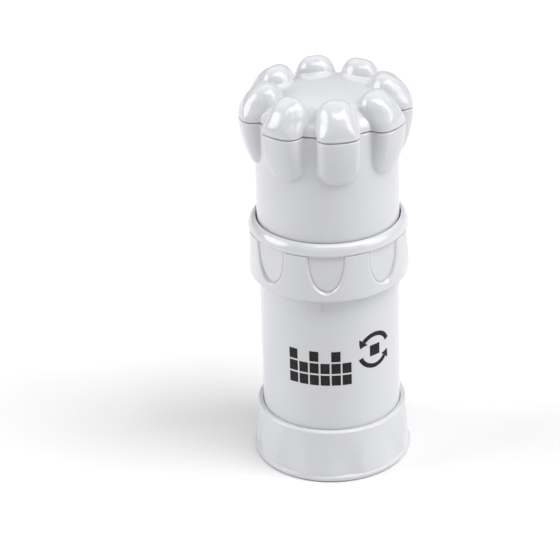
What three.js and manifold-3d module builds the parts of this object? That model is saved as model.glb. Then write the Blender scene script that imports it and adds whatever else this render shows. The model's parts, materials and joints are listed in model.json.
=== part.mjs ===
// A twist garlic press. Turning the clove-shaped knob drives a plate of square pins down a
// rectangular chamber, and the pins push garlic through a blade grid into the storage tube.
//
// Millimetres, +Z up. The origin is the centre of the foot, on the surface the press stands on.
// A bearing is an angle about +Z, from the front (-Y) towards +X. The knob is halfway down.
import * as THREE from "three";
import { mergeVertices } from "three/addons/utils/BufferGeometryUtils.js";
import Module from "manifold-3d";

const wasm = await Module();
wasm.setup();

// ---------- driving dimensions ----------
const SEGMENTS = 40; // facets round a large turned piece
const SMALL_SEGMENTS = 16; // facets round a screw or washer
const GAP = 0.2; // clearance between pieces that touch

// Base
const BASE_R = 32.8;
const BASE_RIM_R = 31.15;
const BASE_BORE_R = 29.3;
const BASE_TOP = 23.3;
const BASE_FLOOR = 4.6;
const FOOT_HEIGHT = 1.9;
const SCOOP = { count: 8, bearing: 12.5, width: 27, depth: 1 };

// Storage tube
const TUBE_R = 28.8;
const TUBE_BORE_R = 26.8;
const TUBE_BOTTOM = 5.9;
const TUBE_TOP = 89;
const KEY = { width: 6.5, height: 5.6, proud: 1, bearing: -11.2 };

// Collar
const COLLAR_R = 32.6;
const COLLAR_BOTTOM = 84.5;
const COLLAR_TOP = 109.4;
const COLLAR_SOCKET_R = 29.2;
const COLLAR_BORE_R = 29.4;
const BAND_Z = 104.7; // groove between the rim band and the petals
const WEB_BOTTOM = 90.2;
const WEB_TOP = 94.4;
const PETAL = { count: 8, halfWidth: 7.6, height: 16, depth: 1, fullness: 2.4 };

// Chamber and its thread
const BORE_X = 29;
const BORE_Y = 32.5;
const CHAMBER_R = 25.6;
const CHAMBER_TOP = 133;
const CHAMBER_WALL = 1.6;
const THREAD = { starts: 3, lead: 24, depth: 1.2, halfHeight: 1.9, steps: 20 };
const BOSS = { x: 19.3, y: 7, r: 2.8, height: 8 };

// Blade grid and its frame
const CELL = 3.55;
const COLUMNS = 8;
const ROWS = 9;
const BLADE_THICKNESS = 0.3;
const BLADE_BOTTOM = 86.9;
const GRID_TOP = 91.3;
const DISC_R = 26.3;
const PLATEAU_R = 21.7;
const DISC_BOTTOM = 87.9;
const DISC_TOP = 90;
const HANDLE = { width: 10.6, thickness: 1.8, reach: 25.2, bottom: 69.4, bend: 3 };

// Plunger
const PLATE_BOTTOM = 104.6;
const PLATE_THICKNESS = 3;
const PIN = { width: 2.55, length: 4.4 };
const SHOULDER_TOP = 146.6;

// Knob
const BARREL_R = 28.95;
const BARREL_BORE_R = 26.2;
const BARREL_BOTTOM = 108;
const KNOB_WEB_BOTTOM = 147.4;
const KNOB_WEB_TOP = 149.9;
const SEAM_Z = 154.4; // parting line of the knob's two halves
const SEAM_GAP = 0.4;
const DOME_RISE = 9.6;
const DOME_POWER = 2.35; // above 2, so that the dome is flatter than an ellipse
const JOURNAL_R = 2.9; // the stem's top, on which the knob turns
const JOURNAL_BORE_R = 3.2;
const SPIGOT = { inner: 23.6, outer: 25.9 }; // the crown's ring inside the barrel
const LOBE = {
  count: 8,
  bearing: 11.25,
  half: 8.55, // half the width of a clove
  nose: 25.6, // centre of the round inner end
  crest: 22.3, // radius where a clove is highest
  reach: 12.9, // from the crest out to the seam
  rise: 13.6, // from the seam up to the crest
  taper: 0.0122, // inward curve below the seam
  arch: 1.8, // power of the arch from the seam to the crest
  bulge: 1.4, // makes the face rounder across than a ring round the axis
  sideEdge: 2.8, // radius of the edges below the seam
  topEdge: 7, // and of the edges near the crest
  end: 134.1, // lowest point
  corner: 7,
};

// Screws: head radius and height, shank radius and length
const CHAMBER_SCREW = { headR: 2, head: 1.2, shankR: 1, length: 7.5, z: 92.95 };
const PUSHER_SCREW = { headR: 2, head: 1.2, shankR: 1, length: 4, z: 110.4 };
const SWIVEL_SCREW = { headR: 3.2, head: 2, shankR: 1.2, length: 9, z: 151.1 };
const PILOT_R = 1.25; // hole for a small screw

// ---------- helpers ----------
const radians = THREE.MathUtils.degToRad;
const point = (x, y) => new THREE.Vector2(x, y);

function solid(geometry) {
  const bare = new THREE.BufferGeometry();
  bare.setAttribute("position", geometry.getAttribute("position"));
  bare.setIndex(geometry.index);
  const merged = mergeVertices(bare, 1e-4);
  const vertProperties = new Float32Array(merged.attributes.position.array);
  const triVerts = new Uint32Array(merged.index.array);
  return new wasm.Manifold(new wasm.Mesh({ numProp: 3, vertProperties, triVerts }));
}

function geometryOf(shape) {
  const { vertProperties, triVerts } = shape.getMesh();
  const geometry = new THREE.BufferGeometry();
  geometry.setAttribute("position", new THREE.BufferAttribute(vertProperties, 3));
  geometry.setIndex(new THREE.BufferAttribute(triVerts, 1));
  return geometry;
}

// A turned solid about +Z. The outline runs from the inside bottom, out, up and back in.
function turned(outline, segments = SEGMENTS) {
  const points = outline.map(([r, z]) => point(r, z));
  return solid(new THREE.LatheGeometry(points, segments).rotateX(Math.PI / 2));
}

function ring(inner, outer, bottom, top, segments = SEGMENTS) {
  const outline = [[inner, bottom], [outer, bottom], [outer, top], [inner, top], [inner, bottom]];
  return turned(outline, segments);
}

function cylinder(r, bottom, top, segments = SEGMENTS) {
  return turned([[0, bottom], [r, bottom], [r, top], [0, top]], segments);
}

function box(x0, x1, y0, y1, z0, z1) {
  const geometry = new THREE.BoxGeometry(x1 - x0, y1 - y0, z1 - z0);
  return solid(geometry.translate((x0 + x1) / 2, (y0 + y1) / 2, (z0 + z1) / 2));
}

// An outline in X and Z, thick along Y and centred on y = 0.
function slab(outline, thickness) {
  const shape = new THREE.Shape(outline.map(([x, z]) => point(x, z)));
  const geometry = new THREE.ExtrudeGeometry(shape, { depth: thickness, bevelEnabled: false });
  return solid(geometry.rotateX(Math.PI / 2).translate(0, thickness / 2, 0));
}

function joined(shapes) {
  return shapes.reduce((whole, shape) => whole.add(shape));
}

// Turns a solid that faces the front round to a bearing.
const atBearing = (shape, degrees) => shape.rotate([0, 0, degrees]);
const around = (count, make) => Array.from({ length: count }, (_, i) => make(i));

const MATERIALS = {
  white: { color: 0xe9e9ee, roughness: 0.22, metalness: 0 },
  frost: { color: 0xe8eef0, roughness: 0.35, metalness: 0 },
  steel: { color: 0xc3c6ca, roughness: 0.25, metalness: 1 },
  rubber: { color: 0xb9bbc0, roughness: 0.8, metalness: 0 },
};

const press = new THREE.Group();

function piece(name, shape, material) {
  const mesh = new THREE.Mesh(geometryOf(shape), new THREE.MeshStandardMaterial(MATERIALS[material]));
  mesh.name = name;
  press.add(mesh);
  return mesh;
}

// ---------- base ----------
// Depth of the shallow finger scoops in the skirt.
function scoopDepth(bearing, z) {
  const pitch = 360 / SCOOP.count;
  const turns = (bearing - SCOOP.bearing) / pitch;
  const off = Math.abs(turns - Math.round(turns)) * pitch;
  const across = Math.max(0, 1 - ((2 * off) / SCOOP.width) ** 2);
  const above = THREE.MathUtils.smoothstep(z, 2.4, 2.8);
  const below = 1 - THREE.MathUtils.smoothstep(z, 8, 20);
  return SCOOP.depth * across * above * below;
}

function baseCup() {
  const skirtInner = 30.6;
  const skirtBottom = 0.5;
  const ceiling = FOOT_HEIGHT + GAP;
  const outline = [
    [0, ceiling], [skirtInner, ceiling], [skirtInner, skirtBottom], [32.2, skirtBottom],
    [BASE_R, 1.1], [BASE_R, 2.2], [32.5, 2.4], [32.4, 2.8], [32.3, 6], [31.95, 10], [31.45, 17],
    [BASE_RIM_R, 22.6], [BASE_RIM_R - 0.3, BASE_TOP], [BASE_BORE_R + 0.3, BASE_TOP], [BASE_BORE_R, 23],
    [BASE_BORE_R, BASE_FLOOR], [0, BASE_FLOOR],
  ];
  const points = outline.map(([r, z]) => point(r, z));
  const lathe = new THREE.LatheGeometry(points, SEGMENTS).rotateX(Math.PI / 2);
  const position = lathe.getAttribute("position");
  for (let i = 0; i < position.count; i += 1) {
    const [x, y, z] = [position.getX(i), position.getY(i), position.getZ(i)];
    const r = Math.hypot(x, y);
    if (r < BASE_BORE_R + 1.5) continue;
    const bearing = THREE.MathUtils.radToDeg(Math.atan2(x, -y));
    const scale = 1 - scoopDepth(bearing, z) / r;
    position.setXYZ(i, x * scale, y * scale, z);
  }
  return solid(lathe);
}

// ---------- storage tube ----------
function storageTube() {
  const wall = turned([
    [TUBE_BORE_R, TUBE_BOTTOM], [TUBE_R - 0.5, TUBE_BOTTOM], [TUBE_R, TUBE_BOTTOM + 0.5],
    [TUBE_R, TUBE_TOP - 0.4], [TUBE_R - 0.4, TUBE_TOP], [TUBE_BORE_R, TUBE_TOP],
    [TUBE_BORE_R, TUBE_BOTTOM],
  ]);
  const top = COLLAR_BOTTOM - GAP;
  const outer = TUBE_R + KEY.proud;
  const key = box(-KEY.width / 2, KEY.width / 2, -outer, -TUBE_R + 1, top - KEY.height, top);
  return wall.add(atBearing(key, KEY.bearing));
}

// ---------- collar ----------
// One petal as a plate that stands off the front, from its rounded tip up to the band.
function petalPlate() {
  const steps = 8;
  const side = around(steps + 1, (i) => {
    const drop = 1 - (i / steps) ** 2;
    return [PETAL.halfWidth * Math.sqrt(1 - drop ** PETAL.fullness), BAND_Z - PETAL.height * drop];
  });
  const mirrored = side.slice(1).reverse().map(([x, z]) => [-x, z]);
  return slab([...side, ...mirrored], 12).translate([0, -COLLAR_R, 0]);
}

function petalCollar() {
  const notch = 0.5;
  const body = turned([
    [0, WEB_BOTTOM], [COLLAR_SOCKET_R, WEB_BOTTOM], [COLLAR_SOCKET_R, COLLAR_BOTTOM],
    [COLLAR_R - 1, COLLAR_BOTTOM], [COLLAR_R, COLLAR_BOTTOM + 1], [COLLAR_R, BAND_Z - 0.2],
    [COLLAR_R - notch, BAND_Z - 0.2], [COLLAR_R - notch, BAND_Z + 0.3], [COLLAR_R, BAND_Z + 0.3],
    [32.3, 106.6], [31.5, 108.2], [30.6, 109.1], [29.8, COLLAR_TOP],
    [COLLAR_BORE_R, COLLAR_TOP - 0.3], [COLLAR_BORE_R, WEB_TOP], [0, WEB_TOP],
  ]);
  const petals = joined(around(PETAL.count, (i) => atBearing(petalPlate(), (i * 360) / PETAL.count)));
  const recess = petals.subtract(cylinder(COLLAR_R - PETAL.depth, 80, 110));
  const opening = box(-BORE_X / 2, BORE_X / 2, -BORE_Y / 2, BORE_Y / 2, 90, 95);
  const seat = cylinder(PLATEAU_R + 0.4, 90, GRID_TOP + 0.3);
  const pocketTop = CHAMBER_SCREW.z + 0.15;
  const headPockets = atBosses(() => cylinder(CHAMBER_SCREW.headR + 0.3, 91, pocketTop, SMALL_SEGMENTS));
  const screwHoles = atBosses(() => cylinder(PILOT_R, 92, 95, SMALL_SEGMENTS));
  return body.subtract(joined([recess, opening, seat, headPockets, screwHoles]));
}

// The four screw positions beside the chamber bore.
const BOSS_PLACES = [[-1, -1], [1, -1], [1, 1], [-1, 1]].map(([a, b]) => [a * BOSS.x, b * BOSS.y]);
function atBosses(make) {
  return joined(BOSS_PLACES.map(([x, y]) => make().translate([x, y, 0])));
}

// ---------- chamber ----------
// A bar of rectangular section wound round the axis at the thread's lead.
function helicalBar(inner, outer, halfHeight, bottom, top, bearing) {
  const steps = Math.max(2, Math.round(((top - bottom) / THREAD.lead) * THREAD.steps));
  const corners = [[inner, -halfHeight], [outer, -halfHeight], [outer, halfHeight], [inner, halfHeight]];
  const positions = [];
  const index = [];
  for (let i = 0; i <= steps; i += 1) {
    const z = bottom + ((top - bottom) * i) / steps;
    const angle = radians(bearing) + (2 * Math.PI * z) / THREAD.lead;
    for (const [r, dz] of corners) positions.push(r * Math.sin(angle), -r * Math.cos(angle), z + dz);
  }
  for (let i = 0; i < steps; i += 1) {
    for (let c = 0; c < 4; c += 1) {
      const a = 4 * i + c;
      const b = 4 * i + ((c + 1) % 4);
      index.push(a, a + 4, b, b, a + 4, b + 4);
    }
  }
  const last = 4 * steps;
  index.push(0, 1, 2, 0, 2, 3, last, last + 2, last + 1, last, last + 3, last + 2);
  const geometry = new THREE.BufferGeometry();
  geometry.setAttribute("position", new THREE.Float32BufferAttribute(positions, 3));
  geometry.setIndex(index);
  return solid(geometry);
}

function pressingChamber() {
  const bottom = WEB_TOP + GAP;
  const bossTop = bottom + BOSS.height;
  const barrel = ring(CHAMBER_R - 2.2, CHAMBER_R, bottom, CHAMBER_TOP);
  const floor = cylinder(CHAMBER_R, bottom, bottom + 2);
  const [outerX, outerY] = [BORE_X / 2 + CHAMBER_WALL, BORE_Y / 2 + CHAMBER_WALL];
  const chute = box(-outerX, outerX, -outerY, outerY, bottom, CHAMBER_TOP);
  const within = cylinder(CHAMBER_R - 0.5, bottom, CHAMBER_TOP);
  const bosses = atBosses(() => cylinder(BOSS.r, bottom, bossTop, SMALL_SEGMENTS));
  const body = joined([barrel, floor, chute.intersect(within), bosses]);
  const bore = box(-BORE_X / 2, BORE_X / 2, -BORE_Y / 2, BORE_Y / 2, 90, CHAMBER_TOP + 5);
  const holes = atBosses(() => cylinder(PILOT_R, 90, bossTop - 0.8, SMALL_SEGMENTS));
  const grooves = around(THREAD.starts, (i) =>
    helicalBar(CHAMBER_R - THREAD.depth, CHAMBER_R + 2, THREAD.halfHeight, bottom + 2,
      CHAMBER_TOP + 4, (i * 360) / THREAD.starts));
  return body.subtract(joined([bore, holes, ...grooves]));
}

// ---------- screws ----------
// A pan-head screw with a cross recess, standing on its head.
function screw({ headR, head, shankR, length }) {
  const outline = [
    [0, -head], [headR * 0.8, -head], [headR, -head * 0.6], [headR, 0],
    [shankR, 0], [shankR, length - shankR], [0, length],
  ];
  const blank = turned(outline, SMALL_SEGMENTS);
  const arm = headR * 0.6;
  const slot = headR * 0.12;
  const floor = -head * 0.4;
  const across = box(-arm, arm, -slot, slot, -head - 1, floor);
  const along = box(-slot, slot, -arm, arm, -head - 1, floor);
  return blank.subtract(across.add(along));
}
const headUp = (shape) => shape.rotate([180, 0, 0]);

// ---------- blade grid ----------
const GRID_X = (CELL * COLUMNS) / 2;
const GRID_Y = (CELL * ROWS) / 2;
const LAP_Z = (BLADE_BOTTOM + GRID_TOP) / 2;
const SLOT_HALF = BLADE_THICKNESS / 2 + 0.15;
const linePlaces = (cells) => around(cells - 1, (i) => (i + 1 - cells / 2) * CELL);

// The long blades run along Y and are notched from the top, where the cross blades lap them.
function longBlade() {
  const end = GRID_Y + 1;
  const tab = GRID_TOP - 0.7;
  const top = linePlaces(ROWS).flatMap((s) => [
    [s - SLOT_HALF, GRID_TOP], [s - SLOT_HALF, LAP_Z - 0.1],
    [s + SLOT_HALF, LAP_Z - 0.1], [s + SLOT_HALF, GRID_TOP],
  ]);
  const corners = [[GRID_Y - 0.3, GRID_TOP], [GRID_Y - 0.3, tab], [end, tab], [end, BLADE_BOTTOM]];
  const start = [[-end, BLADE_BOTTOM], [-end, tab], [-GRID_Y + 0.3, tab], [-GRID_Y + 0.3, GRID_TOP]];
  return slab([...start, ...top, ...corners], BLADE_THICKNESS).rotate([0, 0, 90]);
}

// The cross blades run along X, are notched from below, and end in a point at +X.
function crossBlade() {
  const end = GRID_X + 1;
  const tab = GRID_TOP - 0.7;
  const bottom = linePlaces(COLUMNS).reverse().flatMap((s) => [
    [s + SLOT_HALF, BLADE_BOTTOM], [s + SLOT_HALF, LAP_Z + 0.1],
    [s - SLOT_HALF, LAP_Z + 0.1], [s - SLOT_HALF, BLADE_BOTTOM],
  ]);
  const start = [[-end, BLADE_BOTTOM], [-end, tab], [-GRID_X + 0.3, tab], [-GRID_X + 0.3, GRID_TOP]];
  const tip = [[end - 0.3, GRID_TOP], [end + 1.3, LAP_Z - 0.2], [end, LAP_Z - 0.2], [end, BLADE_BOTTOM]];
  return slab([...start, ...tip, ...bottom], BLADE_THICKNESS);
}

function handleLoop() {
  const { reach, bottom, bend, thickness, width } = HANDLE;
  const inner = reach - thickness;
  const innerBend = bend - thickness;
  const corner = (x, z, r, from) => around(4, (i) => {
    const angle = radians(from + i * 30);
    return [x + r * Math.cos(angle), z + r * Math.sin(angle)];
  });
  const outline = [
    [-reach, DISC_BOTTOM + 0.5],
    ...corner(-reach + bend, bottom + bend, bend, 180),
    ...corner(reach - bend, bottom + bend, bend, 270),
    [reach, DISC_BOTTOM + 0.5], [inner, DISC_BOTTOM + 0.5],
    ...corner(reach - bend, bottom + bend, innerBend, 270).reverse(),
    ...corner(-reach + bend, bottom + bend, innerBend, 180).reverse(),
    [-inner, DISC_BOTTOM + 0.5],
  ];
  return slab(outline, width);
}

function insertFrame() {
  const disc = turned([
    [0, DISC_BOTTOM], [DISC_R - 0.4, DISC_BOTTOM], [DISC_R, DISC_BOTTOM + 0.4],
    [DISC_R, DISC_TOP - 0.6], [DISC_R - 0.6, DISC_TOP], [PLATEAU_R + 0.2, DISC_TOP],
    [PLATEAU_R, GRID_TOP - 0.4], [PLATEAU_R - 0.5, GRID_TOP], [0, GRID_TOP],
  ]);
  const wall = 1.6;
  const skirt = DISC_BOTTOM - 2;
  const [wallX, wallY] = [GRID_X + wall, GRID_Y + wall];
  const collar = box(-wallX, wallX, -wallY, wallY, skirt, DISC_TOP);
  const window = box(-GRID_X, GRID_X, -GRID_Y, GRID_Y, skirt - 1, GRID_TOP + 1);
  const low = BLADE_BOTTOM - 0.3;
  const high = GRID_TOP - 0.5;
  const open = GRID_TOP + 1;
  const deep = 1.2;
  const longSlots = linePlaces(COLUMNS).map((x) =>
    box(x - SLOT_HALF, x + SLOT_HALF, -GRID_Y - deep, GRID_Y + deep, low, high));
  const crossSlots = linePlaces(ROWS).flatMap((y) => [
    box(-GRID_X - deep, 0, y - SLOT_HALF, y + SLOT_HALF, low, high),
    box(0, GRID_X + deep, y - SLOT_HALF, y + SLOT_HALF, low, open),
    box(0, GRID_X + deep + 1.4, y - SLOT_HALF, y + SLOT_HALF, LAP_Z - 0.5, open),
  ]);
  const body = joined([disc, collar, handleLoop()]);
  return body.subtract(joined([window, ...longSlots, ...crossSlots]));
}

// ---------- plunger ----------
function pusherPlate() {
  const [halfX, halfY] = [GRID_X, GRID_Y - 0.05];
  const half = PIN.width / 2;
  const plate = box(-halfX, halfX, -halfY, halfY, PLATE_BOTTOM, PLATE_BOTTOM + PLATE_THICKNESS);
  const pins = around(COLUMNS * ROWS, (i) => {
    const x = ((i % COLUMNS) - (COLUMNS - 1) / 2) * CELL;
    const y = (Math.floor(i / COLUMNS) - (ROWS - 1) / 2) * CELL;
    return box(x - half, x + half, y - half, y + half, PLATE_BOTTOM - PIN.length, PLATE_BOTTOM + 0.5);
  });
  const holes = PUSHER_SCREWS.map(([x, y]) =>
    cylinder(PILOT_R, PLATE_BOTTOM + 0.7, PLATE_BOTTOM + 5, SMALL_SEGMENTS).translate([x, y, 0]));
  return joined([plate, ...pins]).subtract(joined(holes));
}
const PUSHER_SCREWS = [[-7, -7], [7, 7]];

function plungerStem() {
  const footBottom = PLATE_BOTTOM + PLATE_THICKNESS + GAP;
  const footTop = footBottom + 2.4;
  const foot = box(-10.5, 10.5, -10.5, 10.5, footBottom, footTop);
  const ribX = box(-7, 7, -1.2, 1.2, footBottom, SHOULDER_TOP);
  const ribY = box(-1.2, 1.2, -7, 7, footBottom, SHOULDER_TOP);
  const core = cylinder(3.2, footBottom, SHOULDER_TOP, SMALL_SEGMENTS);
  const shoulder = cylinder(7, SHOULDER_TOP - 3, SHOULDER_TOP, SMALL_SEGMENTS);
  const journal = cylinder(JOURNAL_R, SHOULDER_TOP - 1, KNOB_WEB_TOP + 0.1, SMALL_SEGMENTS);
  const body = joined([foot, ribX, ribY, core, shoulder, journal]);
  const screwHole = cylinder(SWIVEL_SCREW.shankR + 0.25, SHOULDER_TOP - 7, KNOB_WEB_TOP + 1, SMALL_SEGMENTS);
  const footHoles = PUSHER_SCREWS.map(([x, y]) =>
    cylinder(PILOT_R, footBottom - 1, footTop + 1, SMALL_SEGMENTS).translate([x, y, 0]));
  return body.subtract(joined([screwHole, ...footHoles]));
}

// ---------- knob ----------
const power = (value, exponent) => Math.max(value, 0) ** exponent;

// How far a point is outside (+) or inside (-) both of two walls that meet in a round edge.
function roundEdge(a, b, r) {
  const outside = Math.hypot(Math.max(a + r, 0), Math.max(b + r, 0));
  return Math.min(Math.max(a, b), -r) + outside;
}

// Distance to one clove, with u outward along its middle and v across it.
function cloveDistance(u, v, z) {
  const radius = Math.hypot(u, LOBE.bulge * v);
  const rise = Math.max(z - SEAM_Z, 0);
  const drop = Math.max(SEAM_Z - z, 0);
  const out = power((radius - LOBE.crest) / LOBE.reach, LOBE.arch);
  const arch = out + power(rise / LOBE.rise, LOBE.arch);
  const upper = (arch ** (1 / LOBE.arch) - 1) * LOBE.reach;
  const lower = radius - (LOBE.crest + LOBE.reach - LOBE.taper * drop * drop);
  const face = z > SEAM_Z ? upper : lower;
  const plan = Math.hypot(Math.max(LOBE.nose - u, 0), v) - LOBE.half;
  const beside = Math.abs(v) - (LOBE.half - LOBE.corner);
  const below = LOBE.end + LOBE.corner - z;
  const end = Math.hypot(Math.max(beside, 0), Math.max(below, 0)) - LOBE.corner;
  const towardsTop = THREE.MathUtils.smoothstep(z, SEAM_Z, SEAM_Z + 7);
  const edge = LOBE.sideEdge + (LOBE.topEdge - LOBE.sideEdge) * towardsTop;
  return roundEdge(face, Math.max(plan, below > 0 ? end : plan), edge);
}

function knobDistance(x, y, z) {
  const radius = Math.hypot(x, y);
  const dome = power(radius / BARREL_R, DOME_POWER) + power((z - SEAM_Z) / DOME_RISE, DOME_POWER);
  const body = z > SEAM_Z ? (dome ** (1 / DOME_POWER) - 1) * DOME_RISE : radius - BARREL_R;
  const pitch = 360 / LOBE.count;
  const bearing = THREE.MathUtils.radToDeg(Math.atan2(x, -y)) - LOBE.bearing;
  const off = radians(bearing - Math.round(bearing / pitch) * pitch);
  return Math.min(body, cloveDistance(radius * Math.cos(off), radius * Math.sin(off), z));
}

// The knob's skin along a ray that leaves the axis at height z0.
function skinPoint(z0, bearing, elevation) {
  const dx = Math.cos(elevation) * Math.sin(bearing);
  const dy = -Math.cos(elevation) * Math.cos(bearing);
  const dz = Math.sin(elevation);
  const at = (t) => [t * dx, t * dy, z0 + t * dz];
  let outside = 70;
  while (knobDistance(...at(outside - 0.5)) > 0) outside -= 0.5;
  let inside = outside - 0.5;
  for (let i = 0; i < 20; i += 1) {
    const middle = (inside + outside) / 2;
    if (knobDistance(...at(middle)) > 0) outside = middle;
    else inside = middle;
  }
  return at(outside);
}

// Bearings round the knob: each clove's face, its edges and the gap beside it.
const CLOVE_OFFSETS = [-22.5, -19.5, -16.8, -14.6, -11.25, -5.5, 0, 5.5, 11.25, 14.6, 16.8, 19.5];
const SKIN_BEARINGS = around(LOBE.count, (i) =>
  CLOVE_OFFSETS.map((offset) => radians(LOBE.bearing + offset + (i * 360) / LOBE.count))).flat();

// A closed solid from rows of skin points, with a point at each end on the axis.
function skinSolid(rows, bottom, top) {
  const count = SKIN_BEARINGS.length;
  const positions = [...rows.flat(2), 0, 0, bottom, 0, 0, top];
  const [low, high] = [rows.length * count, rows.length * count + 1];
  const lastRow = (rows.length - 1) * count;
  const index = [];
  for (let i = 0; i < count; i += 1) {
    const next = (i + 1) % count;
    index.push(low, next, i, high, lastRow + i, lastRow + next);
    for (let row = 0; row < lastRow; row += count) {
      index.push(row + i, row + next, row + count + i);
      index.push(row + next, row + count + next, row + count + i);
    }
  }
  const geometry = new THREE.BufferGeometry();
  geometry.setAttribute("position", new THREE.Float32BufferAttribute(positions, 3));
  geometry.setIndex(index);
  return solid(geometry);
}

function knobBarrel() {
  const top = SEAM_Z - SEAM_GAP / 2;
  const heights = [BARREL_BOTTOM, 132.9, 133.6, 135, 138, 144, top];
  const rows = heights.map((z) => SKIN_BEARINGS.map((bearing) => skinPoint(z, bearing, 0)));
  const skin = skinSolid(rows, BARREL_BOTTOM, top);
  const bore = cylinder(BARREL_BORE_R, BARREL_BOTTOM - 1, KNOB_WEB_BOTTOM);
  const seat = cylinder(BARREL_BORE_R, KNOB_WEB_TOP, top + 1);
  const hole = cylinder(JOURNAL_BORE_R, KNOB_WEB_BOTTOM - 1, KNOB_WEB_TOP + 1, SMALL_SEGMENTS);
  const lugs = around(THREAD.starts, (i) =>
    helicalBar(CHAMBER_R - THREAD.depth + 0.4, BARREL_BORE_R + 0.4, 1.3, 110.5, 112.5,
      (i * 360) / THREAD.starts));
  return joined([skin.subtract(joined([bore, seat, hole])), ...lugs]);
}

function crownCap() {
  const bottom = SEAM_Z + SEAM_GAP / 2;
  const centre = 120;
  const rises = [0, 0.07, 0.17, 0.3, 0.45, 0.52, 0.56, 0.6, 0.7, 0.86];
  const seam = SKIN_BEARINGS.map((bearing) => skinPoint(bottom, bearing, 0));
  const rows = rises.map((rise) => SKIN_BEARINGS.map((bearing, i) => {
    if (rise === 0) return seam[i];
    const start = Math.atan2(bottom - centre, Math.hypot(seam[i][0], seam[i][1]));
    return skinPoint(centre, bearing, start + (Math.PI / 2 - start) * rise);
  }));
  const skin = skinSolid(rows, bottom, SEAM_Z + DOME_RISE);
  const cavity = turned([
    [0, bottom - 1], [SPIGOT.inner, bottom - 1], [SPIGOT.inner, 156.5], [18, 159.6], [0, 161.4],
  ]);
  const spigot = ring(SPIGOT.inner, SPIGOT.outer, KNOB_WEB_TOP + 0.4, bottom + 1);
  return skin.subtract(cavity).add(spigot);
}

// ---------- assembly ----------
// Base
piece("base_cup", baseCup(), "white");
piece("foot_ring", ring(25.5, 30.5, 0, FOOT_HEIGHT), "rubber");
piece("base_seal", ring(24.8, 28.8, BASE_FLOOR + 0.15, TUBE_BOTTOM - 0.15), "rubber");
piece("storage_tube", storageTube(), "white");

// Head
piece("petal_collar", petalCollar(), "white");
piece("pressing_chamber", pressingChamber(), "white");
piece("rim_gasket", ring(27, 28.6, TUBE_TOP + 0.15, WEB_BOTTOM - 0.15), "rubber");
BOSS_PLACES.forEach(([x, y], i) => {
  const standing = piece(`chamber_screw_${i + 1}`, screw(CHAMBER_SCREW), "steel");
  standing.position.set(x, y, CHAMBER_SCREW.z);
});

// Cutting insert
piece("insert_frame", insertFrame(), "frost");
linePlaces(COLUMNS).forEach((x, i) => {
  piece(`long_blade_${i + 1}`, longBlade(), "steel").position.x = x;
});
linePlaces(ROWS).forEach((y, i) => {
  piece(`cross_blade_${i + 1}`, crossBlade(), "steel").position.y = y;
});

// Plunger
piece("pusher_plate", pusherPlate(), "white");
piece("plunger_stem", plungerStem(), "white");
PUSHER_SCREWS.forEach(([x, y], i) => {
  const driven = piece(`pusher_screw_${i + 1}`, headUp(screw(PUSHER_SCREW)), "steel");
  driven.position.set(x, y, PUSHER_SCREW.z);
});
const thrustWasher = ring(3.4, 6.8, SHOULDER_TOP + 0.15, KNOB_WEB_BOTTOM - 0.15, SMALL_SEGMENTS);
piece("thrust_washer", thrustWasher, "frost");
const swivelWasher = ring(1.6, 6, KNOB_WEB_TOP + 0.25, SWIVEL_SCREW.z - 0.15, SMALL_SEGMENTS);
piece("swivel_washer", swivelWasher, "steel");
piece("swivel_screw", headUp(screw(SWIVEL_SCREW)), "steel").position.z = SWIVEL_SCREW.z;

// Knob
piece("knob_barrel", knobBarrel(), "white");
piece("crown_cap", crownCap(), "white");

export default press;
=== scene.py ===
import json
import math
import bmesh
import bpy
import numpy as np
from mathutils import Matrix, Vector


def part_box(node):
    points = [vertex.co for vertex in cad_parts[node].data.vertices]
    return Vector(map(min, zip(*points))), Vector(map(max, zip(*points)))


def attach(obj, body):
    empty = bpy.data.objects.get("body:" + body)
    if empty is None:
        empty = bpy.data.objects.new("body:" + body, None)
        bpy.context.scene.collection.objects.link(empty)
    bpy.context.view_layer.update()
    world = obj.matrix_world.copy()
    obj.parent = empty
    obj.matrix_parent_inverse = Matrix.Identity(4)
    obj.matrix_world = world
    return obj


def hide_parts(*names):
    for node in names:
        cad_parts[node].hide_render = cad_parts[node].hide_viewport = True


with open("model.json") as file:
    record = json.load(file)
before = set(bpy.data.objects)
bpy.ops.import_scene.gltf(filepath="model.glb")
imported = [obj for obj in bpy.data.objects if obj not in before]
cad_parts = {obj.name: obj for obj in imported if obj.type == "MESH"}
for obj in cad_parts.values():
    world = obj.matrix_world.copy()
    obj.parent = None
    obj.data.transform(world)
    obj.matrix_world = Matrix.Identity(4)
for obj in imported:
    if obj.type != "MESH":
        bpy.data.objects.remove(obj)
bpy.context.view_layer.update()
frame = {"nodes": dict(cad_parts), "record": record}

MM = 0.001


def mm_box(node):
    """A node's lowest and highest corner, in millimetres."""
    low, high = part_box(node)
    return np.array(low) / MM, np.array(high) / MM


def span(node):
    """A node's lowest and highest z."""
    low, high = mm_box(node)
    return low[2], high[2]


# ---------- sizes read from the frame ----------
BASE_R = mm_box("base_cup")[1][0]
BASE_BOTTOM, BASE_TOP = span("base_cup")
FOOT_TOP = span("foot_ring")[1]
TUBE_R = mm_box("storage_tube")[1][0]
TUBE_BOTTOM, TUBE_TOP = span("storage_tube")
COLLAR_R = mm_box("petal_collar")[1][0]
COLLAR_BOTTOM, COLLAR_TOP = span("petal_collar")
GRID_TOP = span("insert_frame")[1]
BARREL_BOTTOM, BARREL_TOP = span("knob_barrel")
KNOB_R = mm_box("crown_cap")[1][0]
KNOB_TOP = span("crown_cap")[1]
CROWN_BOTTOM = BARREL_TOP + 0.4  # above the parting line's groove
SEAM_Z = (BARREL_TOP + CROWN_BOTTOM) / 2

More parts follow.
